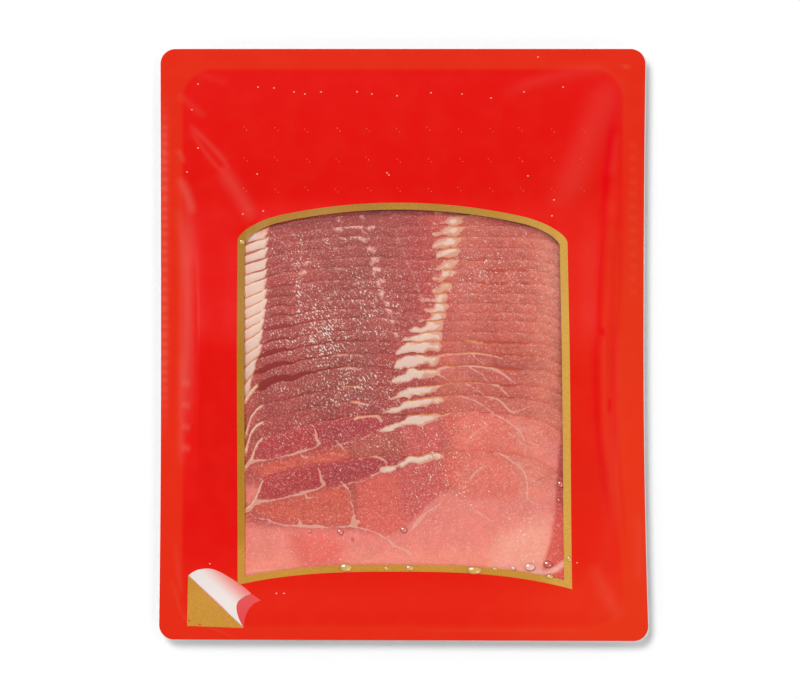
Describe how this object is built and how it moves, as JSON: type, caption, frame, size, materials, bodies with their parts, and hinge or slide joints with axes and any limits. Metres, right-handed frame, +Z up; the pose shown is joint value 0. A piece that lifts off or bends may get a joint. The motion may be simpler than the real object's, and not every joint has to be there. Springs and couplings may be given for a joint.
{
  "type": "pack of sliced ham",
  "caption": "Flat sealed pack of thin cured ham slices laid like roof tiles, seen through an arched window in its red printed film, with a gold border and a peel corner.",
  "frame": {"origin": "centre of the pack's footprint, on the surface it lies on", "axes": "+Z up out of the printed front, +Y towards the pack's head above the window, +X to the right of the front"},
  "size_m": [0.1614, 0.1954, 0.0135],
  "materials": {
    "film": "thin glossy film printed red, with a gold border round a clear arched window",
    "web": "smooth formed packing film, slightly milky",
    "ham": "moist cured meat, dark red to salmon pink, with cream fat, fine pale veins and small wet highlights"
  },
  "bodies": {
    "root": {"back_web": "web", "front_film": "film", "slice_01": "ham", "slice_02": "ham", "slice_03": "ham", "slice_04": "ham", "slice_05": "ham", "slice_06": "ham", "slice_07": "ham", "slice_08": "ham", "slice_09": "ham", "slice_10": "ham", "slice_11": "ham", "slice_12": "ham", "slice_13": "ham", "slice_14": "ham", "slice_15": "ham", "slice_16": "ham", "slice_17": "ham", "slice_18": "ham", "slice_19": "ham", "slice_20": "ham"}
  },
  "joints": []
}
